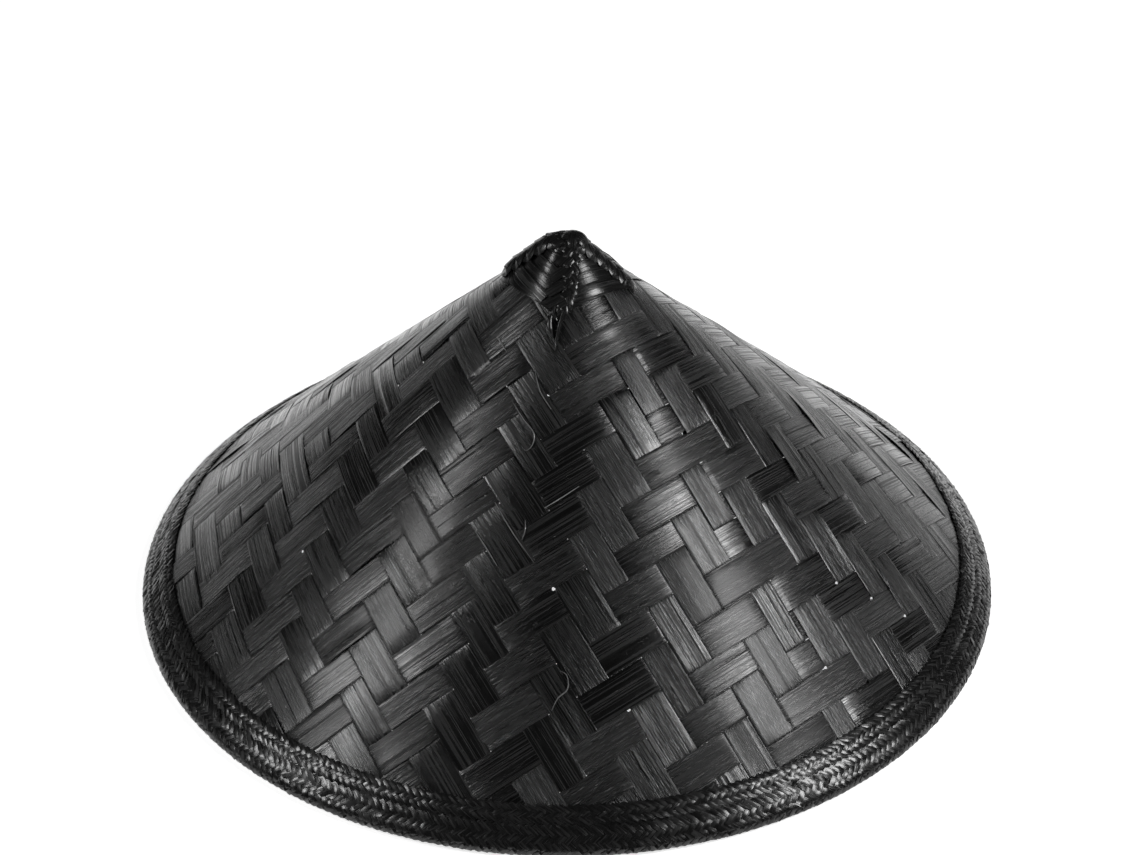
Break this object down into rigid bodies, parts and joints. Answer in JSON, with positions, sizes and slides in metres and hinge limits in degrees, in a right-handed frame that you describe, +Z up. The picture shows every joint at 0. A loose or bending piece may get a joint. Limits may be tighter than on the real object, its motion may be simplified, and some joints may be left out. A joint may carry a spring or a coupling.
{
  "type": "conical bamboo hat",
  "caption": "Wide conical hat of plaited black-painted bamboo strips with a braided rim, a star patch on the tip, an openwork head ring inside and a chin cord with a slider bead.",
  "frame": {"origin": "centre of the rim's circle, on the surface that the hat rests on", "axes": "+Z up along the cone's axis to the tip, -Y towards the front, X across the head through the two cord knots"},
  "size_m": [0.4, 0.4, 0.1813],
  "materials": {
    "outer_strips": "gloss black paint on flat bamboo strips, worn along the grain",
    "rim_braid": "gloss black paint on a fine plait",
    "inner_strips": "satin black paint on split bamboo",
    "hoops": "satin black paint, smooth",
    "cord": "matt black braided cord",
    "bead": "satin black, ribbed"
  },
  "bodies": {
    "root": {"cone_shell": "outer_strips", "apex_cap": "outer_strips", "rim_braid_outer": "rim_braid", "rim_hoop": "hoops", "rim_braid_inner": "rim_braid", "inner_lattice": "inner_strips", "head_ring_band": "inner_strips", "head_ring_hoop": "hoops", "cord_knot_left": "cord", "cord_knot_right": "cord", "cord_left": "cord", "cord_right": "cord", "cord_loop": "cord", "cord_bead": "bead"}
  },
  "joints": []
}
